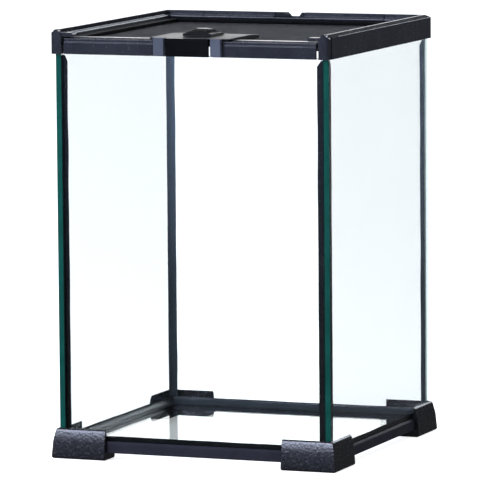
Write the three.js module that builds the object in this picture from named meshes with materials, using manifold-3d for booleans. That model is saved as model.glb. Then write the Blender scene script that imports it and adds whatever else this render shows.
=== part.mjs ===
// Small glass terrarium with a sliding mesh lid.
// Millimetres, +Z up. The origin is the centre of the underside, and the front faces -Y.
// The tank is square, so most pieces are drawn once with u, the distance from its centre line.

import * as THREE from "three";
import { mergeVertices } from "three/addons/utils/BufferGeometryUtils.js";
import Module from "manifold-3d";

const wasm = await Module();
wasm.setup();

// ---- Driving dimensions ----------------------------------------------------

const GAP = 0.3; // clearance between pieces that touch

// Glass box
const GLASS_U = 100; // outer face of each wall pane
const GLASS_T = 4; // glass thickness
const PANE_Z0 = 7; // lower edge of the wall panes
const FRONT_PANE_Z1 = 280.9; // bare upper edge of the front pane, which the lid slides over
const WALL_PANE_Z1 = 285; // upper edge of the other three, inside the top frame
const FLOOR_PANE_Z0 = 7.5; // underside of the floor pane
const SEAL_LEG = 4.7; // leg of the silicone fillets
const SEAL_Z1 = 279.5; // top of the upright fillets
const SEAL_ARC_STEPS = 4; // chords in the hollow face of a fillet
const SEAL_HOLLOW = 0.8; // 0 is a flat fillet face, 1 a quarter circle

// Base frame
const FOOT_U = 104.75; // outer face of a foot where it stands
const FOOT_H = 21; // height of a foot
const FOOT_ARM = 39.85; // length of each of a foot's two arms
const FOOT_WAIST = [103.9, 12]; // u and height where a foot's face starts to lean in
const FOOT_SHOULDER = [102.5, 18.8]; // u and height where its upper edge starts to round
const FOOT_TOP_U = 101.3; // outer edge of a foot's top
const FOOT_CHAMFER = 1; // chamfer along a foot's lower edges
const RAIL_BASE_U = 101.4; // outer face of the base rails
const RAIL_BASE_Z0 = 5; // underside of the base rails
const RAIL_BASE_Z1 = 13.3; // top of the base rails
const RAIL_BASE_CHAMFER = [0.8, 1.6]; // chamfer along their upper edge, across and down
const RAIL_BASE_ROUND = 0.6; // chamfer along their lower edge
const LEDGE_Z = 6.7; // top of the ledge that carries the glass
const LEDGE_U = 86; // inner edge of that ledge

// Top frame
const TOP_U = 102; // outer face
const TOP_Z0 = 280.5; // lower edge
const TOP_EDGE_Z = 295.3; // outer upper edge
const CREST_Z = 297.2; // top of the crest that runs round the lid
const CREST_U = [97.2, 98.7]; // inner and outer edge of the crest
const SHELF_Z = 294.1; // shelf inside the crest, at the head of the inner wall
const SHELF_R = 1.2; // rounding between the shelf and the inner wall
const INNER_WALL_U = 94; // inner face of the top frame
const CHANNEL_WALL_U = 94.4; // inner face of the wall between the glass channel and the tank
const LID_LEDGE_U = 88; // inner edge of the ledge that carries the lid
const LID_LEDGE_Z = [286.1, 287.3]; // underside and top of that ledge
const BACK_CORNER_ARM = 33; // length of each arm of a rear corner piece
const CHEEK_Y = [-100.9, -86.4]; // front and rear end of the front corners' side walls
const POST_Y = [-104.5, -100.5]; // front and rear face of the front corner posts
const POST_U0 = 94.2; // inner face of the posts
const POST_Z1 = 297.5; // top of the bead along the posts' heads, in line with the crest
const POST_SHOULDER_Z = 295.4; // the posts' heads beside that bead
const GROOVE_Y = [-101.4, -98.8]; // front and rear end of the upright groove behind each post
const GROOVE_DEPTH = 1.2; // how deep it is cut into the outer face
const TAB_U = 85.7; // tip of the tabs that hold the lid down
const TAB_Y = [-103.9, -97]; // front and rear face of the tabs
const TAB_Z = [292.7, 295.3]; // underside and top of the tabs

// Cable inlet in the rear rail
const INLET_X0 = -14.3; // left end of the shutter's track
const INLET_X1 = 8.5; // right end of the track
const NOTCH_X = [-3.6, 5]; // cable notch in the rear wall of the rail
const NOTCH_Z = 294.3; // bottom of the notch
const SHUTTER_L = 12; // length of the shutter
const SHUTTER_Z0 = 293.7; // underside of the shutter
const SHUTTER_Y = [96.9, 98.7]; // front and rear face of the shutter
const FINGER_TAB = [4.4, 1.7, 2.4]; // length, reach and height of the shutter's finger tab

// Lid
const LID_U = 93.3; // half width, inside the posts
const LID_REST_X = -0.4; // the lid has a little side play, and rests near its left runner
const LID_Y1 = 97.2; // rear edge, under the rear rail's lip
const LID_Z0 = 287.5; // underside of the lid's bars
const LID_Z1 = 291.8; // top of the lid's bars
const BAR_W = 7.7; // width of the side bars
const BACK_BAR_W = 9.2; // width of the rear bar
const FRONT_BAR_Y = [-100.6, -88]; // front and rear face of the front bar
const BAR_STEP_Y = -95; // step in the front bar, behind the fascia's web
const BAR_STEP_Z = 288.7; // top of the low part of the front bar
const MESH_Z = [288.7, 289.3]; // underside and top of the mesh
const MESH_BITE = 1.7; // how far the mesh reaches into the bars' grooves

// Fascia and lock
const FASCIA_Y = [-103.2, -101]; // front and rear face of the fascia
const FASCIA_Z = [280.5, 291.4]; // lower and upper edge of the fascia
const FASCIA_X = [17.1, 92.3]; // inner and outer end of each half
const FASCIA_BAND_Z = 289.1; // lower edge of the set-back band along the fascia's top
const FASCIA_SETBACK = 0.5; // how far that band is set back
const WEB_Z1 = 290.5; // top of the web that joins the fascia to the lid's front bar
const LOCK_CHEEK_X = [17, 24.6]; // inner and outer face of the lock cheeks
const LOCK_CHEEK_Z0 = 281; // lower end of the lock cheeks
const LOCK_FRONT_Y = -106.6; // front face of the lock cheeks
const LOCK_Z1 = 293.3; // top of the lock cheeks
const PLATE_X = 15.5; // half width of the press plate
const PLATE_Z = [280.7, 293.2]; // lower and upper edge of the press plate
const PLATE_T = 2.2; // thickness of the press plate
const PLATE_SINK = 0.2; // how far it stands behind the cheeks' faces
const STEM_X = [9.6, 12.4]; // the press plate's two stems
const STEM_Z = [289.1, 291.4];
const STEM_Y1 = -98.8; // rear end of the stems, where the springs bear
const SPRING_R = 0.95; // radius of the springs' coils
const SPRING_WIRE_R = 0.16; // radius of their wire
const SPRING_TURNS = 4;
const HOUSING_X = 29; // half width of the lock housing
const HOUSING_Y = [-101.8, -45]; // front and rear end of the lock housing
const HOUSING_Z1 = 293.2; // top of the housing
const HOUSING_T = 1.1; // wall of the housing
const HOUSING_BEND_Y = -60; // behind this the housing's roof slopes down
const HOUSING_DROP = 1; // fall of the roof from there to the rear end
const HOUSING_Z0 = 289.6; // lower edge of the housing, just over the mesh
const KNOB_SLOT_X = 3.3; // half width of the slot for the knob's neck
const KNOB_X = 10.35; // half width of the knob's foot
const KNOB_Y = [-88, -62]; // front and rear end of the knob
const KNOB_TOP_Z = 298.1; // top of the knob
const NECK_X = 3; // half width of the knob's neck
const NECK_Y = [-80, -72]; // front and rear face of the neck
const TONGUE_Z = [290.7, 291.8]; // underside and top of the tongue below the housing's roof
const TONGUE_Y1 = -70; // rear end of the tongue
const SLIDE_TRAVEL = 5; // how far the knob slides forward to lock
const BOLT_SLOPE = 0.7; // drop of the bolt for each millimetre that the knob slides
const BOLT_Y = [-95.5, -93]; // front and rear face of the bolt
const BOLT_X = 4.9; // half width of the bolt
const BOLT_Z0 = 281.5; // lower end of the bolt, raised
const BOLT_Z1 = 288.6; // top of the bolt at its rear face
const BOLT_SLOT_Y0 = -98.1; // front end of the slot that the bolt and wedge pass through

// The pieces are drawn about the tank's centre line, and the whole is then moved along Y so
// that the origin is the centre of the outline from the lock's face to the rear feet.
const ORIGIN_SHIFT_Y = (-LOCK_FRONT_Y - FOOT_U) / 2;

// ---- Materials -------------------------------------------------------------

function standard(color, roughness, metalness = 0, extra = {}) {
  return () => new THREE.MeshStandardMaterial({ color, roughness, metalness, ...extra });
}

const glass = standard(0xd4e4de, 0.04, 0, { transparent: true, opacity: 0.3 });
const silicone = standard(0x0c0d0e, 0.45);
const satinPlastic = standard(0x24262d, 0.42);
const grainedPlastic = standard(0x26282e, 0.55);
const glossPlastic = standard(0x0d0e12, 0.15);
const lockPlastic = standard(0x59606f, 0.4);
const meshMetal = standard(0x1b1c1f, 0.5, 0.6);
const springSteel = standard(0x9a9da2, 0.3, 1);

// ---- Geometry helpers ------------------------------------------------------

function outline(points) {
  return new THREE.Shape(points.map(([a, b]) => new THREE.Vector2(a, b)));
}

function extrude(points, depth) {
  return new THREE.ExtrudeGeometry(outline(points), { depth, bevelEnabled: false });
}

// A section drawn in Y and Z, run along X from x0 to x1.
function alongX(points, x0, x1) {
  const basis = new THREE.Matrix4().set(0, 0, 1, x0, 1, 0, 0, 0, 0, 1, 0, 0, 0, 0, 0, 1);
  return extrude(points, x1 - x0).applyMatrix4(basis);
}

// A section drawn in X and Z, run along Y from y0 to y1.
function alongY(points, y0, y1) {
  return extrude(points, y1 - y0)
    .rotateX(Math.PI / 2)
    .translate(0, y1, 0);
}

// A section drawn in X and Y, run along Z from z0 to z1.
function alongZ(points, z0, z1) {
  return extrude(points, z1 - z0).translate(0, 0, z0);
}

function block([x0, x1], [y0, y1], [z0, z1]) {
  return new THREE.BoxGeometry(x1 - x0, y1 - y0, z1 - z0).translate(
    (x0 + x1) / 2,
    (y0 + y1) / 2,
    (z0 + z1) / 2,
  );
}

// A section drawn in u and Z, run round the four sides of the tank with mitred corners.
function squareRing(points) {
  const section = points.map(([u, z]) => new THREE.Vector2(u * Math.SQRT2, z));
  if (THREE.ShapeUtils.isClockWise(section)) {
    section.reverse();
  }
  section.push(section[0]);
  return new THREE.LatheGeometry(section, 4, Math.PI / 4).rotateX(Math.PI / 2);
}

function toSolid(geometry) {
  const bare = geometry.clone();
  bare.deleteAttribute("normal");
  bare.deleteAttribute("uv");
  const merged = mergeVertices(bare, 1e-4);
  return new wasm.Manifold(
    new wasm.Mesh({
      numProp: 3,
      vertProperties: new Float32Array(merged.attributes.position.array),
      triVerts: new Uint32Array(merged.index.array),
    }),
  );
}

function toGeometry(solid) {
  const { vertProperties, triVerts } = solid.getMesh();
  const geometry = new THREE.BufferGeometry();
  geometry.setAttribute("position", new THREE.BufferAttribute(vertProperties, 3));
  geometry.setIndex(new THREE.BufferAttribute(triVerts, 1));
  return geometry;
}

function join(...geometries) {
  return toGeometry(geometries.map(toSolid).reduce((a, b) => a.add(b)));
}

function cut(geometry, ...tools) {
  return toGeometry(tools.map(toSolid).reduce((a, b) => a.subtract(b), toSolid(geometry)));
}

function overlap(a, b) {
  return toGeometry(toSolid(a).intersect(toSolid(b)));
}

const mirrored = (points) => points.map(([a, b]) => [-a, b]);

// ---- Assembly helpers ------------------------------------------------------

const SIDES = [
  ["left", -1],
  ["right", 1],
];

const terrarium = new THREE.Group();
const tank = new THREE.Group();
const lid = new THREE.Group();
tank.position.y = ORIGIN_SHIFT_Y;
lid.position.set(LID_REST_X, ORIGIN_SHIFT_Y, 0);
terrarium.add(tank, lid);

function piece(group, name, geometry, material, turn = 0) {
  const mesh = new THREE.Mesh(geometry, material());
  mesh.name = name;
  mesh.rotation.z = turn;
  group.add(mesh);
}

// Four copies of a piece, each a quarter turn on from the last.
function quarterTurns(names, geometry, material) {
  names.forEach((name, i) => piece(tank, name, geometry, material, (i * Math.PI) / 2));
}

// ---- Glass box -------------------------------------------------------------

function addGlass() {
  const inner = GLASS_U - GLASS_T;
  const between = inner - GAP;
  for (const [side, s] of SIDES) {
    const x = [s * inner, s * GLASS_U].sort((a, b) => a - b);
    const pane = block(x, [-GLASS_U, GLASS_U], [PANE_Z0, WALL_PANE_Z1]);
    piece(tank, `glass_${side}`, pane, glass);
  }
  const front = block([-between, between], [-GLASS_U, -inner], [PANE_Z0, FRONT_PANE_Z1]);
  const back = block([-between, between], [inner, GLASS_U], [PANE_Z0, WALL_PANE_Z1]);
  const floorZ = [FLOOR_PANE_Z0, FLOOR_PANE_Z0 + GLASS_T];
  const floor = block([-between, between], [-between, between], floorZ);
  piece(tank, "glass_front", front, glass);
  piece(tank, "glass_back", back, glass);
  piece(tank, "glass_floor", floor, glass);
}

// Section of a silicone fillet in the corner at (a, b): two straight legs and a hollow face.
function filletSection(a, b, rise) {
  const points = [[a, b]];
  const reach = (wave, t) => SEAL_LEG * (1 - SEAL_HOLLOW * wave - (1 - SEAL_HOLLOW) * t);
  for (let i = 0; i <= SEAL_ARC_STEPS; i++) {
    const t = i / SEAL_ARC_STEPS;
    const angle = (t * Math.PI) / 2;
    points.push([
      a - reach(Math.sin(angle), t),
      b + rise * reach(Math.cos(angle), 1 - t),
    ]);
  }
  return points;
}

function addSeals() {
  const face = GLASS_U - GLASS_T - GAP;
  const floorZ = FLOOR_PANE_Z0 + GLASS_T + GAP;
  piece(tank, "seal_floor", squareRing(filletSection(face, floorZ, 1)), silicone);
  const upright = alongZ(filletSection(face, face, -1), floorZ + SEAL_LEG + GAP, SEAL_Z1);
  const names = ["seal_back_right", "seal_back_left", "seal_front_left", "seal_front_right"];
  quarterTurns(names, upright, silicone);
}

// ---- Base frame ------------------------------------------------------------

function addBaseFrame() {
  const wall = GLASS_U + GAP;
  const footSection = [
    [LEDGE_U, FOOT_CHAMFER],
    [LEDGE_U + FOOT_CHAMFER, 0],
    [FOOT_U - FOOT_CHAMFER, 0],
    [FOOT_U, FOOT_CHAMFER],
    FOOT_WAIST,
    FOOT_SHOULDER,
    [(FOOT_SHOULDER[0] + FOOT_TOP_U) / 2, FOOT_H - 0.6],
    [FOOT_TOP_U, FOOT_H],
    [wall, FOOT_H],
    [wall, LEDGE_Z],
    [LEDGE_U, LEDGE_Z],
  ];
  const start = FOOT_U - FOOT_ARM;
  const quarter = block([start, FOOT_U + 1], [start, FOOT_U + 1], [-1, FOOT_H + 1]);
  const foot = overlap(squareRing(footSection), quarter);
  quarterTurns(["foot_back_right", "foot_back_left", "foot_front_left", "foot_front_right"],
    foot, grainedPlastic);

  const [chamferU, chamferZ] = RAIL_BASE_CHAMFER;
  const railSection = [
    [LEDGE_U, RAIL_BASE_Z0],
    [RAIL_BASE_U - RAIL_BASE_ROUND, RAIL_BASE_Z0],
    [RAIL_BASE_U, RAIL_BASE_Z0 + RAIL_BASE_ROUND],
    [RAIL_BASE_U, RAIL_BASE_Z1 - chamferZ],
    [RAIL_BASE_U - chamferU, RAIL_BASE_Z1],
    [wall, RAIL_BASE_Z1],
    [wall, LEDGE_Z],
    [LEDGE_U, LEDGE_Z],
  ];
  const end = start - GAP;
  quarterTurns(["base_rail_back", "base_rail_left", "base_rail_front", "base_rail_right"],
    alongX(railSection, -end, end), satinPlastic);
}

// ---- Top frame -------------------------------------------------------------

// Section of the top frame in u and Z: a channel over the glass, a ledge under the lid's
// edge, an inner wall with a shelf at its head, and a crest. innerWall is the line of the wall
// from the shelf down to the ledge.
function topSection(innerWall) {
  const channelU = [GLASS_U - GLASS_T - GAP, GLASS_U + GAP];
  const channelWallZ0 = FRONT_PANE_Z1 + 0.4;
  const shelfEdge = [90, 112.5, 135, 157.5, 180].map((degrees) => {
    const angle = THREE.MathUtils.degToRad(degrees);
    const u = INNER_WALL_U + SHELF_R * (1 + Math.cos(angle));
    return [u, SHELF_Z - SHELF_R * (1 - Math.sin(angle))];
  });
  return [
    [TOP_U, TOP_Z0],
    [TOP_U, TOP_EDGE_Z],
    [CREST_U[1], CREST_Z],
    [CREST_U[0], CREST_Z],
    [CREST_U[0] - 0.2, SHELF_Z + 0.2],
    ...shelfEdge,
    ...innerWall,
    [LID_LEDGE_U, LID_LEDGE_Z[1]],
    [LID_LEDGE_U, LID_LEDGE_Z[0]],
    [CHANNEL_WALL_U, LID_LEDGE_Z[0]],
    [CHANNEL_WALL_U, channelWallZ0],
    [channelU[0], channelWallZ0],
    [channelU[0], WALL_PANE_Z1 + GAP],
    [channelU[1], WALL_PANE_Z1 + GAP],
    [channelU[1], TOP_Z0],
  ];
}

const sideSection = topSection([[INNER_WALL_U, LID_LEDGE_Z[1]]]);
// At the rear the wall is undercut, so that the lid's rear edge slips beneath a lip.
const undercutU = LID_Y1 + GAP;
const lipZ = LID_Z1 + GAP;
const backSection = topSection([
  [INNER_WALL_U, lipZ],
  [undercutU, lipZ],
  [undercutU, LID_LEDGE_Z[1]],
]);

function addFrontCorner(side, s) {
  const place = (points) => (s > 0 ? points : mirrored(points));
  const wall = alongY(place(sideSection), ...CHEEK_Y);
  const crestU = (CREST_U[0] + CREST_U[1]) / 2;
  const crestR = POST_Z1 - POST_SHOULDER_Z;
  const headBead = [15, 45, 75, 105, 135, 165].map((degrees) => {
    const angle = THREE.MathUtils.degToRad(degrees);
    return [crestU + crestR * Math.cos(angle), POST_SHOULDER_Z + crestR * Math.sin(angle)];
  });
  const domed = [
    [POST_U0, TOP_Z0],
    [TOP_U, TOP_Z0],
    [TOP_U, POST_SHOULDER_Z - 0.9],
    [TOP_U - 0.9, POST_SHOULDER_Z],
    ...headBead,
    [POST_U0 + 0.6, POST_SHOULDER_Z],
    [POST_U0, POST_SHOULDER_Z - 0.6],
  ];
  const plan = [
    [POST_U0, POST_Y[1]],
    [POST_U0, POST_Y[0]],
    [TOP_U - 2, POST_Y[0]],
    [TOP_U - 0.6, POST_Y[0] + 0.6],
    [TOP_U, POST_Y[0] + 2],
    [TOP_U, POST_Y[1]],
  ];
  const grooveX = [s * (TOP_U - GROOVE_DEPTH), s * (TOP_U + 1)].sort((a, b) => a - b);
  const groove = block(grooveX, GROOVE_Y, [TOP_Z0 - 1, POST_Z1 + 1]);
  const post = overlap(
    alongY(place(domed), POST_Y[0] - 1, POST_Y[1] + 0.5),
    alongZ(place(plan), TOP_Z0 - 1, POST_Z1 + 1),
  );
  const round = (TAB_Z[1] - TAB_Z[0]) / 2;
  const tabSection = [
    [POST_U0 + 1, TAB_Z[0]],
    [POST_U0 + 1, TAB_Z[1]],
    [TAB_U + round, TAB_Z[1]],
    [TAB_U + 0.3 * round, TAB_Z[1] - 0.3 * round],
    [TAB_U, TAB_Z[1] - round],
    [TAB_U + 0.3 * round, TAB_Z[0] + 0.3 * round],
    [TAB_U + round, TAB_Z[0]],
  ];
  const corner = join(wall, post, alongY(place(tabSection), ...TAB_Y));
  piece(tank, `front_corner_${side}`, cut(corner, groove), satinPlastic);
}

function addTopFrame() {
  const cornerStart = TOP_U - BACK_CORNER_ARM;
  for (const [side, s] of SIDES) {
    const section = s > 0 ? sideSection : mirrored(sideSection);
    const rail = alongY(section, CHEEK_Y[1] + GAP, cornerStart - GAP);
    piece(tank, `side_rail_${side}`, rail, satinPlastic);
    addFrontCorner(side, s);
    addBackCorner(side, s, cornerStart);
  }
  addBackRail(cornerStart - GAP);
}

// A rear corner piece: the side section turns the corner and meets the rear section, whose
// inner wall is undercut so that the lid's rear edge slips beneath it.
function addBackCorner(side, s, start) {
  const beyond = TOP_U + 1;
  const x = s > 0 ? [start, beyond] : [-beyond, -start];
  const window = block(x, [start, beyond], [TOP_Z0 - 1, CREST_Z + 1]);
  const undercutX = s > 0 ? [start - 1, INNER_WALL_U] : [-INNER_WALL_U, -start + 1];
  const undercut = block(undercutX, [LID_LEDGE_U, undercutU], [LID_LEDGE_Z[1], lipZ]);
  const corner = cut(overlap(squareRing(sideSection), window), undercut);
  piece(tank, `back_corner_${side}`, corner, satinPlastic);
}

function addBackRail(end) {
  const above = CREST_Z + 1;
  const trackY = [LID_LEDGE_U, SHUTTER_Y[1] + GAP];
  const track = block([INLET_X0, INLET_X1], trackY, [SHUTTER_Z0 - GAP, above]);
  const notchSection = [
    [NOTCH_X[0], NOTCH_Z],
    [NOTCH_X[1] - 1.6, NOTCH_Z],
    [NOTCH_X[1], CREST_Z - 0.6],
    [NOTCH_X[1] + 0.6, above],
    [NOTCH_X[0] - 1, above],
  ];
  const notch = alongY(notchSection, trackY[1] - 1, TOP_U + 1);
  piece(tank, "back_rail", cut(alongX(backSection, -end, end), track, notch), satinPlastic);

  const x0 = INLET_X0 + GAP;
  const x1 = x0 + SHUTTER_L;
  const shutterSection = [
    [x0, SHUTTER_Z0],
    [x1, SHUTTER_Z0],
    [x1, SHUTTER_Z0 + 1.2],
    [x1 - 2.2, CREST_Z],
    [x0, CREST_Z],
  ];
  const [tabL, tabReach, tabH] = FINGER_TAB;
  const tabX = [x1 - 0.4 - tabL, x1 - 0.4];
  const tabY = [SHUTTER_Y[0] - tabReach, SHUTTER_Y[1] - 0.5];
  const fingerTab = block(tabX, tabY, [SHUTTER_Z0, SHUTTER_Z0 + tabH]);
  const shutter = join(alongY(shutterSection, ...SHUTTER_Y), fingerTab);
  piece(tank, "inlet_shutter", shutter, satinPlastic);
}

// ---- Lid -------------------------------------------------------------------

function addLidFrame() {
  const barInner = LID_U - BAR_W;
  const [barY0, barY1] = FRONT_BAR_Y;
  const backY = LID_Y1 - BACK_BAR_W;
  const grooveDepth = MESH_BITE + GAP;
  const grooveZ = [MESH_Z[0] - GAP, MESH_Z[1] + GAP];

  const frontSection = [
    [barY0, LID_Z0],
    [barY1, LID_Z0],
    [barY1, grooveZ[0]],
    [barY1 - grooveDepth, grooveZ[0]],
    [barY1 - grooveDepth, grooveZ[1]],
    [barY1, grooveZ[1]],
    [barY1, LID_Z1],
    [BAR_STEP_Y, LID_Z1],
    [BAR_STEP_Y, BAR_STEP_Z],
    [barY0, BAR_STEP_Z],
  ];
  const slotX = BOLT_X + 0.4;
  const boltSlot = block([-slotX, slotX], [BOLT_SLOT_Y0, barY1 + 1], [LID_Z0 - 1, LID_Z1 + 1]);
  const frontBar = cut(alongX(frontSection, -LID_U, LID_U), boltSlot);
  piece(lid, "lid_bar_front", frontBar, satinPlastic);

  // A bar with its outer face at outer, its inner face at inner and the mesh's groove there.
  const barSection = (outer, inner) => [
    [outer, LID_Z0],
    [outer, LID_Z1],
    [inner, LID_Z1],
    [inner, grooveZ[1]],
    [inner + grooveDepth, grooveZ[1]],
    [inner + grooveDepth, grooveZ[0]],
    [inner, grooveZ[0]],
    [inner, LID_Z0],
  ];
  piece(lid, "lid_bar_back", alongX(barSection(LID_Y1, backY), -LID_U, LID_U), satinPlastic);
  const sideBar = barSection(LID_U, barInner);
  for (const [side, s] of SIDES) {
    const section = s > 0 ? sideBar : mirrored(sideBar);
    piece(lid, `lid_bar_${side}`, alongY(section, barY1 + GAP, backY - GAP), satinPlastic);
  }

  // The mesh's front edge is cut back where the bolt and its wedge pass.
  const meshX = barInner + MESH_BITE;
  const meshY = [barY1 - MESH_BITE, backY + MESH_BITE];
  const clearX = BOLT_X + 1.3;
  const clearY = barY1 + 0.8;
  const meshOutline = [
    [-meshX, meshY[0]],
    [-clearX, meshY[0]],
    [-clearX, clearY],
    [clearX, clearY],
    [clearX, meshY[0]],
    [meshX, meshY[0]],
    [meshX, meshY[1]],
    [-meshX, meshY[1]],
  ];
  piece(lid, "lid_mesh", alongZ(meshOutline, ...MESH_Z), meshMetal);
}

// The fascia hangs over the front pane's upper edge, in two halves either side of the lock.
function addFascia() {
  const [front, rear] = FASCIA_Y;
  const band = front + FASCIA_SETBACK;
  const webZ = [BAR_STEP_Z + GAP, WEB_Z1];
  const section = [
    [rear, FASCIA_Z[0]],
    [rear, webZ[0]],
    [BAR_STEP_Y - GAP, webZ[0]],
    [BAR_STEP_Y - GAP, webZ[1]],
    [rear, webZ[1]],
    [rear, FASCIA_Z[1]],
    [band + 0.4, FASCIA_Z[1]],
    [band, FASCIA_Z[1] - 0.4],
    [band, FASCIA_BAND_Z],
    [front, FASCIA_BAND_Z - FASCIA_SETBACK],
    [front, FASCIA_Z[0] + 0.4],
    [front + 0.4, FASCIA_Z[0]],
  ];
  for (const [side, s] of SIDES) {
    const fasciaX = FASCIA_X.map((v) => v * s).sort((a, b) => a - b);
    piece(lid, `fascia_${side}`, alongX(section, ...fasciaX), satinPlastic);
    const cheekX = LOCK_CHEEK_X.map((v) => v * s).sort((a, b) => a - b);
    const cheek = block(cheekX, [LOCK_FRONT_Y, front - GAP], [LOCK_CHEEK_Z0, LOCK_Z1]);
    piece(lid, `lock_cheek_${side}`, cheek, lockPlastic);
  }
}

// ---- Lock ------------------------------------------------------------------

// A shallow cover with a roof, two side walls and a rear wall. It is open at the front, where
// the press plate's stems pass, and its roof slopes down at the rear.
function addLockHousing() {
  const [y0, y1] = HOUSING_Y;
  const roofZ0 = HOUSING_Z1 - HOUSING_T;
  const roof = [
    [y0, roofZ0],
    [y0, HOUSING_Z1],
    [HOUSING_BEND_Y, HOUSING_Z1],
    [y1, HOUSING_Z1 - HOUSING_DROP],
    [y1, HOUSING_Z0],
    [y1 - HOUSING_T, HOUSING_Z0],
    [y1 - HOUSING_T, roofZ0 - HOUSING_DROP],
    [HOUSING_BEND_Y, roofZ0],
  ];
  const wallY0 = FRONT_BAR_Y[1] + GAP;
  const wallZ1 = HOUSING_Z1 - HOUSING_T / 2;
  const wall = [
    [wallY0, HOUSING_Z0],
    [wallY0, wallZ1],
    [HOUSING_BEND_Y, wallZ1],
    [y1, wallZ1 - HOUSING_DROP],
    [y1, HOUSING_Z0],
  ];
  const inside = HOUSING_X - HOUSING_T;
  const shell = join(
    alongX(roof, -HOUSING_X, HOUSING_X),
    alongX(wall, -HOUSING_X, -inside),
    alongX(wall, inside, HOUSING_X),
  );
  const slotY = [NECK_Y[0] - SLIDE_TRAVEL - GAP, NECK_Y[1] + GAP];
  const slot = block([-KNOB_SLOT_X, KNOB_SLOT_X], slotY, [roofZ0 - 1, HOUSING_Z1 + 1]);
  piece(lid, "lock_housing", cut(shell, slot), satinPlastic);
}

// The knob's side view in Y and Z: two ribs across its front, a hump, and a slope to the rear.
function knobSideView(foot) {
  const [y0, y1] = KNOB_Y;
  const points = [[y0, foot]];
  for (const ribZ of [foot + 0.7, foot + 1.8]) {
    points.push([y0, ribZ], [y0 + 0.5, ribZ + 0.25], [y0, ribZ + 0.5]);
  }
  points.push(
    [y0 + 0.3, KNOB_TOP_Z - 1.8],
    [y0 + 10, KNOB_TOP_Z - 0.1],
    [y0 + 14, KNOB_TOP_Z],
    [y0 + 17.5, KNOB_TOP_Z - 0.4],
    [y1 - 4, foot + 1.4],
    [y1, foot + 0.4],
    [y1, foot],
  );
  return points;
}

// The knob stands on the housing, and its neck passes down a slot to a tongue with a wedge.
// The wedge's slope lies over the bolt, so the bolt goes down as the knob slides forward.
function addLockSlider() {
  const foot = HOUSING_Z1 + 0.2;
  const halfView = [
    [KNOB_X, foot],
    [KNOB_X, foot + 1.6],
    [8.2, foot + 2.2],
    [6.2, foot + 3.3],
    [4.6, KNOB_TOP_Z],
  ];
  const frontView = [...halfView, ...mirrored(halfView).reverse()];
  const knob = overlap(
    alongX(knobSideView(foot), -KNOB_X - 1, KNOB_X + 1),
    alongY(frontView, KNOB_Y[0] - 1, KNOB_Y[1] + 1),
  );
  const slopeZ0 = BOLT_Z1 + GAP; // the slope's height over the bolt's rear face
  const slopeY = (z) => BOLT_Y[1] + (slopeZ0 - z) / BOLT_SLOPE;
  const wedgeRear = BOLT_Y[1] + SLIDE_TRAVEL;
  const insideTongue = TONGUE_Z[1] - 0.2;
  const wedge = [
    [slopeY(TONGUE_Z[0]), TONGUE_Z[0]],
    [wedgeRear, slopeZ0 - BOLT_SLOPE * SLIDE_TRAVEL],
    [wedgeRear, insideTongue],
    [slopeY(TONGUE_Z[0]), insideTongue],
  ];
  const slider = join(
    knob,
    block([-NECK_X, NECK_X], NECK_Y, [TONGUE_Z[0] + 0.3, foot + 1]),
    block([-BOLT_X, BOLT_X], [slopeY(TONGUE_Z[0]) - 0.4, TONGUE_Y1], TONGUE_Z),
    alongX(wedge, -BOLT_X, BOLT_X),
  );
  piece(lid, "lock_slider", slider, satinPlastic);
}

function addBolt() {
  const [y0, y1] = BOLT_Y;
  const section = [
    [y0, BOLT_Z0 + 0.6],
    [y0 + 0.6, BOLT_Z0],
    [y1, BOLT_Z0],
    [y1, BOLT_Z1],
    [y0, BOLT_Z1 + BOLT_SLOPE * (y1 - y0)],
  ];
  piece(lid, "latch_bolt", alongX(section, -BOLT_X, BOLT_X), lockPlastic);
}

// A coil spring along Y from y0 to y1, centred at (x, z).
function coil(x, z, y0, y1) {
  const points = [];
  const steps = SPRING_TURNS * 10;
  for (let i = 0; i <= steps; i++) {
    const t = i / steps;
    const angle = t * SPRING_TURNS * 2 * Math.PI;
    points.push(new THREE.Vector3(
      x + SPRING_R * Math.cos(angle),
      y0 + SPRING_WIRE_R + t * (y1 - y0 - 2 * SPRING_WIRE_R),
      z + SPRING_R * Math.sin(angle),
    ));
  }
  return new THREE.ExtrudeGeometry(new THREE.Shape().absarc(0, 0, SPRING_WIRE_R, 0, 2 * Math.PI), {
    steps,
    curveSegments: 3,
    bevelEnabled: false,
    extrudePath: new THREE.CatmullRomCurve3(points),
  });
}

function addPressPlate() {
  const front = LOCK_FRONT_Y + PLATE_SINK;
  const rear = front + PLATE_T;
  const stem = (s) => block(STEM_X.map((v) => v * s).sort((a, b) => a - b),
    [rear - 0.5, STEM_Y1], STEM_Z);
  const plate = block([-PLATE_X, PLATE_X], [front, rear], PLATE_Z);
  piece(lid, "press_plate", join(plate, stem(-1), stem(1)), glossPlastic);
  const stemX = (STEM_X[0] + STEM_X[1]) / 2;
  const stemZ = (STEM_Z[0] + STEM_Z[1]) / 2;
  for (const [side, s] of SIDES) {
    const spring = coil(s * stemX, stemZ, STEM_Y1 + GAP, BAR_STEP_Y - GAP);
    piece(lid, `plate_spring_${side}`, spring, springSteel);
  }
}

addGlass();
addSeals();
addBaseFrame();
addTopFrame();
addLidFrame();
addFascia();
addLockHousing();
addLockSlider();
addBolt();
addPressPlate();

export default terrarium;
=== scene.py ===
import math

import bmesh
import bpy
from mathutils import Matrix, Vector, noise


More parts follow.
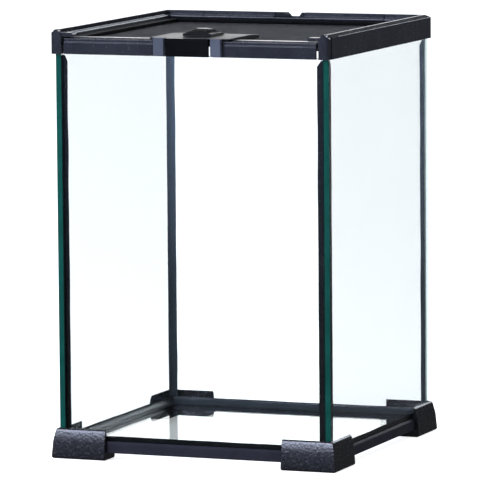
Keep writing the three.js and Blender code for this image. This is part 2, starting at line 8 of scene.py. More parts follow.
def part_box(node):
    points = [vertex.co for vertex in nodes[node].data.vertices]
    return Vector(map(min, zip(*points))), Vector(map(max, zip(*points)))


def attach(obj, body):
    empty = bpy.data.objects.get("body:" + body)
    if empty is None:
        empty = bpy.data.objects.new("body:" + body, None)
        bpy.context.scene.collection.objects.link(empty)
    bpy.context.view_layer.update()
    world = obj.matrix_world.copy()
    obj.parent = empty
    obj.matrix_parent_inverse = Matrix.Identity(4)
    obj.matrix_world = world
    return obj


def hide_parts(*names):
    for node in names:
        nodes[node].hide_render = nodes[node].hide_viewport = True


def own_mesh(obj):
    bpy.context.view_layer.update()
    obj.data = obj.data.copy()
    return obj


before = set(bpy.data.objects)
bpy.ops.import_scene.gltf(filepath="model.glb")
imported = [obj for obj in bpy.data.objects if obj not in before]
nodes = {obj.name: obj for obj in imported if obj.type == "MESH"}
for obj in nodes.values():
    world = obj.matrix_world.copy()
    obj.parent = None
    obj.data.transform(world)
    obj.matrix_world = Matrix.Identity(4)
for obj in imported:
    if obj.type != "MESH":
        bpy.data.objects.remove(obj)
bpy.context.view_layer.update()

# A small glass terrarium with a sliding mesh lid. Sizes here are in millimetres, in the
# frame of the CAD model, and become metres when a mesh is made.
MM = 0.001


def box_mm(node):
    """Lowest and highest corner of a CAD node, in millimetres."""
    low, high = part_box(node)
    return low / MM, high / MM


# ---- Camera -------------------------------------------------------------------------

# The camera was fitted to the corners of the frame and of the glass.
CAMERA_AT = (1313.61, -3348.74, 557.92)
CAMERA_YAW = math.radians(21.413)
CAMERA_PITCH = math.radians(6.468)
CAMERA_ROLL = math.radians(-0.448)
# Slopes, to the right and up, from the middle of the picture to the fitted axis.
AXIS_ASIDE = (0.00113856, -0.00161989)
SENSOR_WIDTH = 36.0
LENS = 387.99
NEAR_M, FAR_M = 0.05, 50.0


def camera_axes():
    """Right, up and back vectors of the fitted camera."""
    a, e, roll = CAMERA_YAW, CAMERA_PITCH, CAMERA_ROLL
    back = Vector((math.sin(a) * math.cos(e), -math.cos(a) * math.cos(e), math.sin(e)))
    right = Vector((math.cos(a), math.sin(a), 0))
    up = back.cross(right)
    return (
        math.cos(roll) * right + math.sin(roll) * up,
        -math.sin(roll) * right + math.cos(roll) * up,
        back,
    )


def add_camera():
    right, up, back = camera_axes()
    # The camera is turned to the middle of the picture, so that it needs no shift.
    ahead = -back - right * AXIS_ASIDE[0] + up * AXIS_ASIDE[1]
    back = -ahead.normalized()
    right = up.cross(back).normalized()
    up = back.cross(right)
    data = bpy.data.cameras.new("camera")
    data.sensor_width = SENSOR_WIDTH
    data.lens = LENS
    data.clip_start = NEAR_M
    data.clip_end = FAR_M
    camera = bpy.data.objects.new("camera", data)
    turn = Matrix((right, up, back)).transposed().to_4x4()
    camera.matrix_world = Matrix.Translation(Vector(CAMERA_AT) * MM) @ turn
    bpy.context.scene.collection.objects.link(camera)
    bpy.context.scene.camera = camera


# ---- Node helpers -------------------------------------------------------------------


class Tree:
    """A material's or world's node tree, with short ways to add and join nodes."""

    def __init__(self, owner, output):
        owner.use_nodes = True
        self.tree = owner.node_tree
        self.tree.nodes.clear()
        self.out = self.tree.nodes.new(output)

    def put(self, value, socket):
        """Links a socket to socket, or sets a plain value on it."""
        if isinstance(value, bpy.types.NodeSocket):
            self.tree.links.new(value, socket)
        else:
            socket.default_value = value

    def add(self, kind, inputs, **settings):
        node = self.tree.nodes.new(kind)
        for key, value in settings.items():
            setattr(node, key, value)
        for key, value in inputs.items():
            self.put(value, node.inputs[key])
        return node

    def math(self, operation, a, b, clamp=False):
        node = self.add("ShaderNodeMath", {0: a, 1: b}, operation=operation, use_clamp=clamp)
        return node.outputs[0]

    def spread(self, value, source, target=(0.0, 1.0), curve="LINEAR"):
        """Moves value from the range source to the range target, and keeps it in there."""
        inputs = {
            "Value": value,
            "From Min": source[0],
            "From Max": source[1],
            "To Min": target[0],
            "To Max": target[1],
        }
        node = self.add("ShaderNodeMapRange", inputs, interpolation_type=curve)
        return node.outputs["Result"]

    def mix_colour(self, factor, a, b):
        """Colour a at factor 0 and colour b at factor 1. A colour is a socket or a triple."""
        node = self.add("ShaderNodeMix", {}, data_type="RGBA")
        # A mix node has sockets for every kind of data. These are its factor and two colours.
        self.put(factor, node.inputs[0])
        self.put(rgba(a), node.inputs[6])
        self.put(rgba(b), node.inputs[7])
        return node.outputs[2]

    def mix_shader(self, factor, a, b):
        return self.add("ShaderNodeMixShader", {0: factor, 1: a, 2: b}).outputs["Shader"]

    def noise(self, where, scale, detail=2.0, rough=0.5):
        inputs = {"Vector": where, "Scale": scale, "Detail": detail, "Roughness": rough}
        return self.add("ShaderNodeTexNoise", inputs).outputs["Fac"]

    def bump(self, height, depth, strength=1.0):
        """The shading normal of a relief that is depth mm deep where height runs 0 to 1."""
        inputs = {"Height": height, "Strength": strength, "Distance": depth * MM}
        return self.add("ShaderNodeBump", inputs).outputs["Normal"]

    def coordinate(self, kind):
        return self.add("ShaderNodeTexCoord", {}).outputs[kind]

    def component(self, vector, axis):
        return self.add("ShaderNodeSeparateXYZ", {0: vector}).outputs[axis]

    def ray(self, kind):
        return self.add("ShaderNodeLightPath", {}).outputs[kind]

    def principled(self, inputs):
        return self.add("ShaderNodeBsdfPrincipled", inputs).outputs["BSDF"]

    def surface(self, socket):
        self.tree.links.new(socket, self.out.inputs["Surface"])


def rgba(colour):
    """A socket as it is, and a triple of numbers with its alpha."""
    return colour if isinstance(colour, bpy.types.NodeSocket) else (*colour, 1.0)


# ---- Materials ----------------------------------------------------------------------

# A noise's scale counts its features in a metre: at 1000 there is one in each millimetre.
# Most of its values lie in one of these bands.
MIDDLE_BAND = (0.35, 0.65)
WIDE_BAND = (0.3, 0.7)

X, Y, Z = range(3)


def new_material(name):
    material = bpy.data.materials.new(name)
    return material, Tree(material, "ShaderNodeOutputMaterial")


def plastic(name, dark, light, rough, specular=0.5, grain=0.02):
    """Moulded plastic: a faint flow mottle, uneven gloss and a fine grain, grain mm deep."""
    material, t = new_material(name)
    where = t.coordinate("Object")
    mottle = t.noise(where, 45.0, 3.0, 0.55)
    fine = t.noise(where, 420.0, 2.0, 0.6)
    uneven = t.math("ADD", t.math("MULTIPLY", mottle, 0.5), t.math("MULTIPLY", fine, 0.5))
    inputs = {
        "Base Color": t.mix_colour(t.spread(mottle, MIDDLE_BAND), dark, light),
        "Roughness": t.spread(uneven, MIDDLE_BAND, (rough - 0.05, rough + 0.06)),
        "Normal": t.bump(t.noise(where, 1500.0, 1.5), grain),
        "Specular IOR Level": specular,
    }
    t.surface(t.principled(inputs))
    return material


def leather_grain(name, dark, light, rough, depth):
    """Plastic moulded with a leather grain: cells with soft creases, depth mm deep, the creases
    painted darker as shade.
    """
    material, t = new_material(name)
    where = t.coordinate("Object")
    warp = t.add("ShaderNodeTexNoise", {"Vector": where, "Scale": 260.0, "Detail": 2.0})
    warp_by = {0: warp.outputs["Color"], "Scale": 1.2 * MM}
    shift = t.add("ShaderNodeVectorMath", warp_by, operation="SCALE")
    bent = t.add("ShaderNodeVectorMath", {0: where, 1: shift.outputs[0]}, operation="ADD")
    cell_inputs = {"Vector": bent.outputs[0], "Scale": 620.0}
    cell_node = t.add("ShaderNodeTexVoronoi", cell_inputs, feature="SMOOTH_F1")
    cells = cell_node.outputs["Distance"]
    pores = t.noise(where, 1400.0)
    height = t.math("ADD", t.math("MULTIPLY", cells, -1.0), t.math("MULTIPLY", pores, 0.35))
    inputs = {
        # Painted shade: the creases between the cells are darker than the cell tops.
        "Base Color": t.mix_colour(t.spread(cells, (0.25, 0.75)), light, dark),
        "Roughness": t.spread(cells, (0.2, 0.8), (rough - 0.08, rough + 0.12)),
        "Normal": t.bump(height, depth),
        "Specular IOR Level": 0.65,
    }
    t.surface(t.principled(inputs))
    return material


CLEAR_TINT = (0.962, 0.985, 0.98)
PASSING_TINT = (0.97, 0.985, 0.98)  # for rays that light other things
CUT_TINT = (0.62, 0.74, 0.76)  # a cut edge seen through the pane, from its inside
GREEN_CUT = ((0.0012, 0.034, 0.028), (0.0025, 0.048, 0.039))
PALE_CUT = ((0.3, 0.38, 0.38), (0.42, 0.5, 0.5))
EDGE_BELOW = 0.9  # a face is a cut edge if its normal lies along the pane's axis by less


def glass(name, axis, cut=GREEN_CUT):
    """A glass pane whose large faces look along axis. Its cut edges are ground.

    Rays that light other things pass straight through, so that the pane casts no shadow.
    """
    material, t = new_material(name)
    where = t.coordinate("Object")
    across = t.math("ABSOLUTE", t.component(t.coordinate("Normal"), axis), 0.0)
    is_edge = t.math("LESS_THAN", across, EDGE_BELOW)
    clear = {
        "Base Color": rgba(CLEAR_TINT),
        "Roughness": 0.0,
        "IOR": 1.5,
        "Transmission Weight": 1.0,
        "Normal": t.bump(t.noise(where, 9.0, 1.0), 0.03),
    }
    streak = t.spread(t.noise(where, 55.0, 3.0, 0.6), MIDDLE_BAND)
    ground = {
        "Base Color": t.mix_colour(streak, *cut),
        "Roughness": 0.22,
        "Specular IOR Level": 0.25,
        "Normal": t.bump(t.noise(where, 1800.0, 1.0), 0.01),
    }
    lights = t.math("MAXIMUM", t.ray("Is Shadow Ray"), t.ray("Is Diffuse Ray"))
    passing = t.add("ShaderNodeBsdfTransparent", {"Color": rgba(PASSING_TINT)})
    pale = t.add("ShaderNodeBsdfTransparent", {"Color": rgba(CUT_TINT)})
    inside = t.add("ShaderNodeNewGeometry", {}).outputs["Backfacing"]
    edge = t.mix_shader(inside, t.principled(ground), pale.outputs["BSDF"])
    face = t.mix_shader(lights, t.principled(clear), passing.outputs["BSDF"])
    t.surface(t.mix_shader(is_edge, face, edge))
    return material


FACES_UP = (0.1, 0.5)  # upward share of the normal from which the dust and painted sheen start, and are full
RUBBER = ((0.002, 0.0024, 0.003), (0.005, 0.006, 0.007))
# Lighter grey where a bead faces up: dust, and a painted sheen in place of highlights.
DUST_AND_SHEEN = ((0.017, 0.021, 0.027), (0.026, 0.032, 0.04))
# Painted reflection on the back beads: lighter and bluer from the first height to the second, in
# m.
PAINTED_REFLECTION = ((0.02, 0.027, 0.036), (0.075, 0.1, 0.142))
PAINTED_REFLECTION_HEIGHTS_M = (0.1, 0.28)


def silicone(name, reflection_painted=False):
    """Black silicone bead: satin, with slow finger ripples, and lighter where it faces up: dust
    with a painted sheen.

    On the back beads the colour instead grows lighter and bluer towards the lid, as a painted
    reflection.
    """
    material, t = new_material(name)
    where = t.coordinate("Object")
    slow = t.noise(where, 60.0)
    fine = t.noise(where, 700.0)
    height = t.math("ADD", slow, t.math("MULTIPLY", fine, 0.015))
    if reflection_painted:
        # Painted reflection: the colour grows lighter and bluer towards the lid.
        colour = t.mix_colour(t.spread(t.component(where, Z), PAINTED_REFLECTION_HEIGHTS_M), *PAINTED_REFLECTION)
    else:
        dust_and_sheen_share = t.spread(t.component(t.coordinate("Normal"), Z), FACES_UP)
        colour = t.mix_colour(dust_and_sheen_share, t.mix_colour(slow, *RUBBER), t.mix_colour(slow, *DUST_AND_SHEEN))
    inputs = {
        "Base Color": colour,
        "Roughness": t.spread(fine, WIDE_BAND, (0.26, 0.38)),
        "Normal": t.bump(height, 0.12, strength=0.7),
        "Specular IOR Level": 0.22,
    }
    t.surface(t.principled(inputs))
    return material


def coated_wire(name):
    """Woven wire with a black coating, greyer on the tops of the wires: partly worn coating,
    partly painted highlight.
    """
    material, t = new_material(name)
    where = t.coordinate("Object")
    # Greyer tops: worn coating, and a painted highlight on the crests.
    top = t.spread(t.component(t.coordinate("Normal"), Z), (0.6, 1.0), (0.0, 0.8))
    wear_and_highlight = t.math("MULTIPLY", top, t.noise(where, 2600.0), clamp=True)
    inputs = {
        "Base Color": t.mix_colour(wear_and_highlight, (0.010, 0.010, 0.011), (0.085, 0.085, 0.088)),
        "Roughness": t.spread(t.noise(where, 160.0, 3.0), WIDE_BAND, (0.34, 0.5)),
        "Specular IOR Level": 0.5,
    }
    t.surface(t.principled(inputs))
    return material


def spring_wire(name):
    """Bare drawn steel."""
    material, t = new_material(name)
    drawn = t.noise(t.coordinate("Object"), 900.0)
    inputs = {
        "Base Color": t.mix_colour(drawn, (0.42, 0.43, 0.45), (0.6, 0.61, 0.63)),
        "Metallic": 1.0,
        "Roughness": t.spread(drawn, WIDE_BAND, (0.22, 0.38)),
    }
    t.surface(t.principled(inputs))
    return material


SATIN = plastic(
    "satin_plastic", (0.0095, 0.0105, 0.015), (0.013, 0.0145, 0.02), rough=0.22
)
GLOSS = plastic(
    "gloss_plastic",
    (0.0015, 0.0016, 0.002),
    (0.0025, 0.0027, 0.0032),
    rough=0.12,
    specular=0.22,
    grain=0.003,
)
HOUSING = plastic(
    "housing_plastic", (0.0065, 0.007, 0.0085), (0.0095, 0.0105, 0.013), rough=0.36
)
# The lid bars lie in shadow under the rails, and their plastic is painted darker as shade.
SHADED_BARS = plastic(
    "bar_plastic_painted_shade", (0.0015, 0.0017, 0.002), (0.003, 0.0033, 0.004), rough=0.42, specular=0.06
)
BASE = plastic(
    "base_plastic", (0.012, 0.0122, 0.018), (0.0165, 0.0168, 0.025), rough=0.38, specular=0.06
)
LOCK = plastic("lock_plastic", (0.038, 0.045, 0.066), (0.048, 0.057, 0.082), rough=0.4)
GRAINED = leather_grain(
    "grained_plastic", (0.0018, 0.0019, 0.0026), (0.0055, 0.0058, 0.008), rough=0.23, depth=0.085
)
BLACK_SILICONE = silicone("black_silicone")
# The back beads' silicone, with a painted reflection that grows towards the lid.
REFLECTION_PAINTED_SILICONE = silicone("silicone_painted_reflection", reflection_painted=True)
WIRE = coated_wire("coated_wire")
SPRING = spring_wire("spring_wire")
GLASS_X = glass("glass_x", X)
GLASS_Y = glass("glass_y", Y)
GLASS_Z = glass("glass_z", Z)
PALE_CUT_GLASS = glass("glass_back", Y, PALE_CUT)


# ---- Mesh helpers -------------------------------------------------------------------

WELD_WITHIN = 0.005
FLAT_WITHIN = math.radians(0.5)  # CAD facets that turn by less are one flat face
ROUND_ABOVE = math.radians(14)  # edges that turn by more are rounded


def soften(node, width, segments, material):
    """Gives a CAD node its material and rounds its edges, width mm across."""
    piece = nodes[node]
    weld = piece.modifiers.new("weld", "WELD")
    weld.merge_threshold = WELD_WITHIN * MM
    flat = piece.modifiers.new("flat", "DECIMATE")
    flat.decimate_type = "DISSOLVE"
    flat.angle_limit = FLAT_WITHIN
    round_off = piece.modifiers.new("round", "BEVEL")
    round_off.width = width * MM
    round_off.segments = segments
    round_off.limit_method = "ANGLE"
    round_off.angle_limit = ROUND_ABOVE
    round_off.use_clamp_overlap = True
    piece.modifiers.new("weighted", "WEIGHTED_NORMAL")
    set_material(piece, material)


def set_material(piece, material):
    if not piece.material_slots:
        piece.data.materials.append(material)
    for slot in piece.material_slots:
        slot.link = "OBJECT"
        slot.material = material


def new_piece(name, vertices, faces, material, smooth=True):
    """A mesh object from corners in mm and faces."""
    mesh = bpy.data.meshes.new(name)
    mesh.from_pydata([(x * MM, y * MM, z * MM) for x, y, z in vertices], [], faces)
    mesh.validate()
    mesh.update()
    for polygon in mesh.polygons:
        polygon.use_smooth = smooth
    mesh.materials.append(material)
    piece = bpy.data.objects.new(name, mesh)
    bpy.context.scene.collection.objects.link(piece)
    return piece


def stand_for(piece, body, slot, *replaced):
    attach(piece, body)
    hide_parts(*replaced)


def tube_along(rings, closed=False):
    """Corners and faces of a tube from equal rings of corners.

    A closed tube runs back into its first ring, and an open one is capped at both ends.
    """
    count = len(rings[0])
    faces = []
    for i in range(len(rings) if closed else len(rings) - 1):
        a, b = i * count, (i + 1) % len(rings) * count
        for k in range(count):
            n = (k + 1) % count
            faces.append((a + k, a + n, b + n, b + k))
    if not closed:
        faces.append(tuple(reversed(range(count))))
        last = (len(rings) - 1) * count
        faces.append(tuple(range(last, last + count)))
    return [corner for ring in rings for corner in ring], faces


def fix_normals(piece):
    mesh = bmesh.new()
    mesh.from_mesh(piece.data)
    bmesh.ops.recalc_face_normals(mesh, faces=mesh.faces)
    mesh.to_mesh(piece.data)
    mesh.free()


# ---- Woven mesh ---------------------------------------------------------------------

WIRE_PITCH = 1.6
WIRE_R = 0.15
WIRE_SIDES = 4
LOCK_HALF_WIDTH = 6.2  # the mesh is cut out this far either side of the middle
LOCK_BEHIND_BAR = 0.8  # and this far behind the lid's front bar, for the lock


def weave(low, high, clear_x, clear_y):
    """Corners and faces of a plain weave between low and high.

    Wires that run along Y start at clear_y where they are within clear_x of the middle.
    """
    middle_z = (low.z + high.z) / 2
    lift = (high.z - low.z) / 2 - WIRE_R
    counts = [int((high[i] - low[i]) // WIRE_PITCH) for i in (X, Y)]
    starts = [(low[i] + high[i] - counts[i] * WIRE_PITCH) / 2 for i in (X, Y)]
    stations = [[starts[i] + k * WIRE_PITCH for k in range(counts[i] + 1)] for i in (X, Y)]
    vertices, faces = [], []
    for along, across in ((X, Y), (Y, X)):
        for j, fixed in enumerate(stations[across]):
            line = []
            for k, travel in enumerate(stations[along]):
                over = 1 if (j + k + along) % 2 else -1
                at = [0, 0, middle_z + over * lift]
                at[along] = travel
                at[across] = fixed
                blocked = abs(at[X]) < clear_x and at[Y] < clear_y
                if not blocked:
                    line.append(at)
                elif line:
                    add_wire(vertices, faces, line, along, across)
                    line = []
            if len(line) > 1:
                add_wire(vertices, faces, line, along, across)
    return vertices, faces


def add_wire(vertices, faces, line, along, across):
    """Adds the corners and faces of one wire through the points of line."""
    base = len(vertices)
    for at in line:
        for side in range(WIRE_SIDES):
            angle = 2 * math.pi * (side + 0.5) / WIRE_SIDES
            corner = list(at)
            corner[across] += WIRE_R * math.cos(angle)
            corner[Z] += WIRE_R * math.sin(angle)
            vertices.append(corner)
    for k in range(len(line) - 1):
        a, b = base + k * WIRE_SIDES, base + (k + 1) * WIRE_SIDES
        for side in range(WIRE_SIDES):
            n = (side + 1) % WIRE_SIDES
            ring = (a + side, a + n, b + n, b + side)
            faces.append(ring if along else ring[::-1])
    first = tuple(range(base, base + WIRE_SIDES))
    last_base = base + (len(line) - 1) * WIRE_SIDES
    last = tuple(range(last_base, last_base + WIRE_SIDES))
    faces.append(first[::-1] if along else first)
    faces.append(last if along else last[::-1])


def add_lid_mesh():
    low, high = box_mm("lid_mesh")
    clear_y = box_mm("lid_bar_front")[1].y + LOCK_BEHIND_BAR
    vertices, faces = weave(low, high, LOCK_HALF_WIDTH, clear_y)
    piece = new_piece("woven_mesh", vertices, faces, WIRE)
    stand_for(piece, "lid", "mesh", "lid_mesh")


# ---- Silicone beads -----------------------------------------------------------------

BEAD_ARC = 10  # steps across a bead's face
BEAD_HOLLOW = 0.78  # 0 is a flat face and 1 is a full quarter circle
BEAD_ROOT = 3.9  # how far an upright bead reaches into the joint behind it
BEAD_NO_ROOT = 0.05
BEAD_SKIN = 0.22  # its thickness in there
BEAD_END = 4.0  # length of the rounded upper end
BEAD_END_SIZE = 0.45  # share of the full size that is left at the very end
BEAD_STEPS = 64
BEAD_WAVE = 0.35  # how far its legs vary in length
GLASS_GAP = 0.03  # keeps a bead's faces off those of the glass
FLOOR_OVERLAP = 0.2  # how far the floor bead grows past its CAD box's corner
FLOOR_STEPS = 36  # along each side
FLOOR_WAVE = 0.3
FLOOR_SEED = 40
FLOOR_SIDE = 190  # about the length of a side
WAVE_PER_MM = 0.035
SEED_APART = 7.3


def bead_face(leg_a, leg_b):
    """Points of a hollow bead face from (leg_a, 0) to (0, leg_b)."""
    points = []
    for i in range(BEAD_ARC + 1):
        t = i / BEAD_ARC
        angle = t * math.pi / 2
        a = leg_a * (1 - BEAD_HOLLOW * math.sin(angle) - (1 - BEAD_HOLLOW) * t)
        b = leg_b * (1 - BEAD_HOLLOW * math.cos(angle) - (1 - BEAD_HOLLOW) * (1 - t))
        points.append((a, b))
    return points


def uneven(seed, along, amount):
    """A slow hand-made unevenness, in mm, at a distance along a bead."""
    return amount * noise.noise(Vector((seed * SEED_APART, along * WAVE_PER_MM, 0.0)))


def add_upright_bead(place, corner, legs, root, seed, rubber):
    """An upright bead in the glass corner at corner, running root mm into the joint behind."""
    low, high = box_mm("seal_" + place)
    cx, cy = corner
    sx = -1 if cx > 0 else 1
    sy = -1 if cy > 0 else 1
    rings = []
    for i in range(BEAD_STEPS + 1):
        z = low.z + i / BEAD_STEPS * (high.z - low.z)
        end = min(1.0, (high.z - z) / BEAD_END)
        taper = BEAD_END_SIZE + (1 - BEAD_END_SIZE) * math.sqrt(1 - (1 - end) ** 2)
        a = taper * (legs[0] + uneven(seed, z, BEAD_WAVE))
        b = taper * (legs[1] + uneven(seed + 1, z, BEAD_WAVE))
        ring = [(cx, cy - sy * root), (cx + sx * BEAD_SKIN, cy - sy * root)]
        ring.append((cx + sx * BEAD_SKIN, cy))
        ring += [(cx + sx * pa, cy + sy * pb) for pa, pb in bead_face(a, b)]
        rings.append([(x, y, z) for x, y in ring])
    vertices, faces = tube_along(rings)
    piece = new_piece("bead_" + place, vertices, faces, rubber, smooth=False)
    fix_normals(piece)
    stand_for(piece, "tank", "silicone", "seal_" + place)


def add_floor_bead():
    """The bead round the floor pane, against the foot of the four walls."""
    low, high = box_mm("seal_floor")
    leg = high.z - low.z + FLOOR_OVERLAP
    foot_z = low.z - FLOOR_OVERLAP
    half_x = high.x + FLOOR_OVERLAP
    centre_y = (low.y + high.y) / 2
    corners = [(1, -1), (1, 1), (-1, 1), (-1, -1)]
    rings = []
    for side in range(4):
        ax, ay = corners[side]
        bx, by = corners[(side + 1) % 4]
        for i in range(FLOOR_STEPS):
            t = i / FLOOR_STEPS
            wave = uneven(FLOOR_SEED + side, t * FLOOR_SIDE, FLOOR_WAVE)
            wave *= math.sin(math.pi * t)  # none at the corners, where two sides meet
            ring = []
            for u, v in [(0.0, 0.0), *bead_face(leg + wave, leg - wave)]:
                reach = half_x - u
                x = reach * (ax + (bx - ax) * t)
                y = reach * (ay + (by - ay) * t)
                ring.append((x, centre_y + y, foot_z + v))
            rings.append(ring)
    vertices, faces = tube_along(rings, closed=True)
    piece = new_piece("floor_bead", vertices, faces, BLACK_SILICONE, smooth=False)
    fix_normals(piece)
    stand_for(piece, "tank", "silicone", "seal_floor")


def add_seals():
    right = -box_mm("glass_left")[1].x - GLASS_GAP
    front = box_mm("glass_front")[1].y + GLASS_GAP
    back = box_mm("glass_back")[0].y - GLASS_GAP
    for place, corner, legs, root, seed, rubber in (
        ("front_left", (-right, front), (3.6, 4.4), BEAD_ROOT, 3, BLACK_SILICONE),
        ("front_right", (right, front), (5.4, 3.4), BEAD_ROOT, 11, BLACK_SILICONE),
        ("back_left", (-right, back), (4.8, 4.8), BEAD_ROOT, 17, REFLECTION_PAINTED_SILICONE),
        ("back_right", (right, back), (3.4, 3.4), BEAD_NO_ROOT, 23, REFLECTION_PAINTED_SILICONE),
    ):
        add_upright_bead(place, corner, legs, root, seed, rubber)
    add_floor_bead()


# ---- Springs ------------------------------------------------------------------------

SPRING_WIRE_R = 0.15
SPRING_TURNS = 4
SPRING_STEPS = 16  # rings of corners in each turn
SPRING_SIDES = 6


def add_plate_springs():
    """A wound wire in place of each plain spring."""
    for side in ("left", "right"):
        low, high = box_mm("plate_spring_" + side)
        middle = (low + high) / 2
        radius = (high.x - low.x) / 2 - SPRING_WIRE_R
        steps = SPRING_TURNS * SPRING_STEPS
        rings = []
        for i in range(steps + 1):
            turn = i / SPRING_STEPS * 2 * math.pi
            out = Vector((math.cos(turn), 0.0, math.sin(turn)))
            y = low.y + SPRING_WIRE_R + (high.y - low.y - 2 * SPRING_WIRE_R) * i / steps
            centre = Vector((middle.x, y, middle.z)) + out * radius
            ring = []
            for k in range(SPRING_SIDES):
                around = 2 * math.pi * k / SPRING_SIDES
                offset = out * math.cos(around) + Vector((0.0, math.sin(around), 0.0))
                ring.append(tuple(centre + offset * SPRING_WIRE_R))
            rings.append(ring)
        vertices, faces = tube_along(rings)
        piece = new_piece("coil_" + side, vertices, faces, SPRING)
        fix_normals(piece)
        stand_for(piece, "lid", "spring_steel", "plate_spring_" + side)
        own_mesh(piece)


# ---- CAD pieces that keep their mesh ------------------------------------------------

# Start of the nodes' names, width of their rounded edges, its segments, and material.
# The first row that fits a node is used. The nodes without a row are replaced.
FINISHES = (
    ("foot_", 0.7, 3, GRAINED),
    ("base_rail_", 0.25, 2, BASE),
    ("side_rail_", 0.25, 2, SATIN),
    ("front_corner_", 0.25, 2, SATIN),
    ("back_corner_", 0.25, 2, SATIN),
    ("back_rail", 0.2, 2, SATIN),
    ("inlet_shutter", 0.2, 2, SATIN),
    ("fascia_", 0.2, 2, SATIN),
    ("lid_bar_front", 0.2, 2, SATIN),
    ("lid_bar_", 0.2, 2, SHADED_BARS),
    ("lock_cheek_", 0.5, 3, LOCK),
    ("lock_housing", 0.3, 3, HOUSING),
    ("lock_slider", 0.35, 3, GLOSS),
    ("press_plate", 0.35, 3, GLOSS),
    ("latch_bolt", 0.2, 2, LOCK),
    ("glass_left", 0.25, 1, GLASS_X),
    ("glass_right", 0.25, 1, GLASS_X),
    ("glass_front", 0.25, 1, GLASS_Y),
    ("glass_back", 0.25, 1, PALE_CUT_GLASS),
    ("glass_floor", 0.25, 1, GLASS_Z),
)


def dress_cad():
    for node in nodes:
        for start, width, segments, material in FINISHES:
            if node.startswith(start):
                soften(node, width, segments, material)
                break


# ---- Studio -------------------------------------------------------------------------

WHITE_BACKDROP = (1.5, 1.5, 1.5)
SOFT_LIGHT = (0.55, 0.57, 0.62)
FLOOR_WHITE = (0.92, 0.92, 0.92)
FLOOR_GLOW = 0.78  # the floor shines this much itself, so that it shows white
FLOOR_REACH = 9000
FLOOR_DROP = 0.2  # keeps the floor's face off the undersides of the feet
FLOOR_PANELS_M = (0.4, 2.6)  # the panels show on the floor from here on, and fully from there

# What gloss sees around it: a dark room with bright panels, each given by the middle of its
# direction, its inner and outer radius in degrees, and its colour.
ROOM_DARK = (0.04, 0.041, 0.044)
BACK_PANEL = ((-0.36, 0.93, 0.06), 7, 15, (2.2, 2.22, 2.26))
EDGE_PANEL = ((0.21, 0.925, 0.33), 9, 13.5, (3.5, 3.75, 4.1))
TOP_PANEL = ((-0.36, 0.1, 0.93), 14, 30, (0.5, 0.52, 0.58))
FRONT_PANEL = ((-0.42, -0.9, -0.03), 12, 34, (0.12, 0.14, 0.24))
SLOPE_PANEL = ((-0.34, -0.84, 0.42), 8, 15, (9.2, 10.0, 13.0))
PANELS = (BACK_PANEL, EDGE_PANEL, TOP_PANEL, FRONT_PANEL, SLOPE_PANEL)


def room_colour(t, way, panels):
    """The colour of the room in the unit direction way."""
    colour = ROOM_DARK
    for direction, inner, outer, bright in panels:
        aim = Vector(direction).normalized()
        dot = t.add("ShaderNodeVectorMath", {0: way, 1: aim}, operation="DOT_PRODUCT")
        limits = (math.cos(math.radians(outer)), math.cos(math.radians(inner)))
        share = t.spread(dot.outputs["Value"], limits, curve="SMOOTHSTEP")
        colour = t.mix_colour(share, colour, bright)
    return colour


def is_mirrored(t):
    """1 for a ray that some gloss has turned back, also where glass has bent it since."""
    return t.math("GREATER_THAN", t.ray("Glossy Depth"), 0.5)


def add_world():
    """White wherever the camera looks, straight or through glass, and a room for gloss."""
    world = bpy.data.worlds.new("studio")
    bpy.context.scene.world = world
    t = Tree(world, "ShaderNodeOutputWorld")
    way = t.coordinate("Generated")
    soft = t.math("MAXIMUM", t.ray("Is Diffuse Ray"), t.ray("Is Shadow Ray"))
    plain = t.mix_colour(soft, WHITE_BACKDROP, SOFT_LIGHT)
    colour = t.mix_colour(is_mirrored(t), plain, room_colour(t, way, PANELS))
    studio = t.add("ShaderNodeBackground", {"Color": colour, "Strength": 1.0})
    t.surface(studio.outputs["Background"])


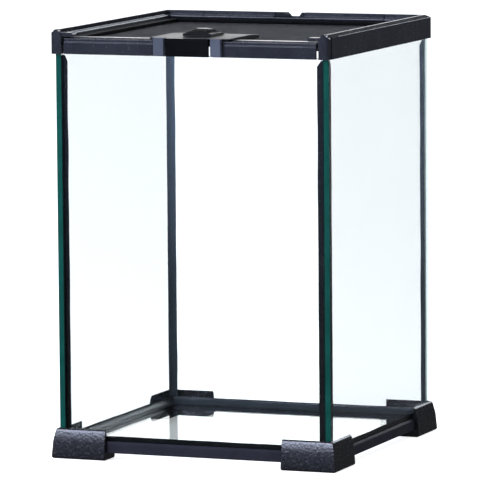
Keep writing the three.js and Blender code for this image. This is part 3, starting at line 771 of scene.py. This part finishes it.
def add_floor():
    """A plain white floor, which gloss sees as part of the room."""
    material, t = new_material("floor")
    white = t.add("ShaderNodeBsdfDiffuse", {"Color": rgba(FLOOR_WHITE)})
    glow = t.add("ShaderNodeEmission", {"Color": rgba((1, 1, 1)), "Strength": FLOOR_GLOW})
    lit = t.add("ShaderNodeAddShader", {0: white.outputs["BSDF"], 1: glow.outputs["Emission"]})
    place = t.coordinate("Object")
    way = t.add("ShaderNodeVectorMath", {0: place}, operation="NORMALIZE").outputs[0]
    away = t.add("ShaderNodeVectorMath", {0: place}, operation="LENGTH").outputs["Value"]
    # The panels light the floor only well away from the tank.
    room = room_colour(t, way, (BACK_PANEL, FRONT_PANEL))
    shade = t.mix_colour(t.spread(away, FLOOR_PANELS_M), ROOM_DARK, room)
    dim = t.add("ShaderNodeEmission", {"Color": shade})
    t.surface(t.mix_shader(is_mirrored(t), lit.outputs["Shader"], dim.outputs["Emission"]))
    r = FLOOR_REACH
    corners = [(-r, -r, 0), (r, -r, 0), (r, r, 0), (-r, r, 0)]
    floor = new_piece("floor", corners, [(0, 1, 2, 3)], material)
    floor.location.z = -FLOOR_DROP * MM


def add_soft_box(name, at, aim, size, power, colour):
    """A square lamp, size m across, that lights but isn't seen, also not by gloss."""
    data = bpy.data.lights.new(name, "AREA")
    data.shape = "RECTANGLE"
    data.size = data.size_y = size
    data.energy = power
    data.color = colour
    lamp = bpy.data.objects.new(name, data)
    lamp.location = at
    lamp.rotation_euler = (Vector(aim) - Vector(at)).to_track_quat("-Z", "Y").to_euler()
    lamp.visible_camera = False
    lamp.visible_transmission = False
    lamp.visible_glossy = False
    bpy.context.scene.collection.objects.link(lamp)


def add_studio():
    add_world()
    add_floor()
    add_soft_box(
        "key",
        at=(-1.5, -2.2, 1.3),
        aim=(0, 0, 0.15),
        size=1.2,
        power=105.0,
        colour=(0.8, 0.86, 1.0),
    )


# ---- Build --------------------------------------------------------------------------

add_camera()
dress_cad()
add_lid_mesh()
add_seals()
add_plate_springs()
add_studio()

scene = bpy.context.scene
scene.view_settings.view_transform = "Standard"
# The photo's angle looks through up to four panes, and each has two faces.
scene.cycles.max_bounces = 24
scene.cycles.transmission_bounces = 20
scene.cycles.transparent_max_bounces = 20
